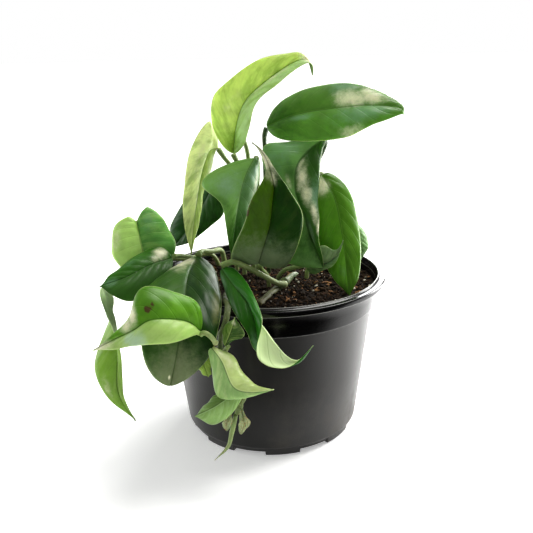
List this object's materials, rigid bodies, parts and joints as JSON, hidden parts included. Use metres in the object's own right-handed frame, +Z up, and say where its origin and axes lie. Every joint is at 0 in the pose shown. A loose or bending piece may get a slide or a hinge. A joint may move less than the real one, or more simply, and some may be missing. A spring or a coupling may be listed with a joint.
{
  "type": "potted pothos",
  "caption": "Young trailing pothos with broad drooping leaves, growing in a plain tapered plastic nursery pot with a stepped collar and rolled rim.",
  "frame": {"origin": "centre of the pot's flat foot, on the surface it stands on", "axes": "+Z up along the pot's axis, +X to the right and -Y to the front, where the longest vine hangs over the rim"},
  "size_m": [0.2107, 0.2003, 0.2653],
  "materials": {
    "pot_plastic": "satin black injection-moulded plastic with fine scuffs",
    "potting_mix": "loose dark potting mix of peat and bark with white perlite",
    "vine_bark": "green-brown vine with pale joint rings",
    "green_stalk": "smooth matte green stalk",
    "light_leaf": "young yellow-green leaf, satin, with darker feathering between the veins",
    "green_leaf": "mid-green leaf, waxy satin",
    "dark_leaf": "deep green leaf, waxy satin",
    "blue_green_leaf": "bluish green leaf, waxy satin",
    "papery_sheath": "thin dry translucent skin"
  },
  "bodies": {
    "root": {"pot": "pot_plastic", "soil": "potting_mix", "vine_trailing": "vine_bark", "vine_stump": "vine_bark", "new_shoot": "green_stalk", "stalk_crown": "green_stalk", "stalk_bare": "green_stalk", "stalk_high_right": "green_stalk", "stalk_tall_left": "green_stalk", "stalk_back_left": "green_stalk", "stalk_mid_left": "green_stalk", "stalk_front_centre": "green_stalk", "stalk_mid_right": "green_stalk", "stalk_low_right": "green_stalk", "stalk_right": "green_stalk", "stalk_far_right": "green_stalk", "stalk_back_left_heart": "green_stalk", "stalk_left_dark": "green_stalk", "stalk_big_left": "green_stalk", "stalk_left_twisted": "green_stalk", "stalk_front_dark": "green_stalk", "stalk_front_left": "green_stalk", "stalk_front_small": "green_stalk", "leaf_crown": "light_leaf", "leaf_high_right": "green_leaf", "leaf_tall_left": "light_leaf", "leaf_back_left": "dark_leaf", "leaf_mid_left": "blue_green_leaf", "leaf_front_centre": "dark_leaf", "leaf_mid_right": "blue_green_leaf", "leaf_low_right": "green_leaf", "leaf_right": "green_leaf", "leaf_far_right": "green_leaf", "leaf_back_left_heart": "green_leaf", "leaf_left_dark": "dark_leaf", "leaf_big_left": "green_leaf", "leaf_front_left": "light_leaf", "leaf_left_twisted": "light_leaf", "leaf_front_pale": "light_leaf", "leaf_front_low": "green_leaf", "leaf_front_dark": "dark_leaf", "leaf_front_small": "green_leaf", "leaf_low_yellow": "light_leaf", "sheath_right": "papery_sheath", "sheath_left": "papery_sheath"}
  },
  "joints": []
}
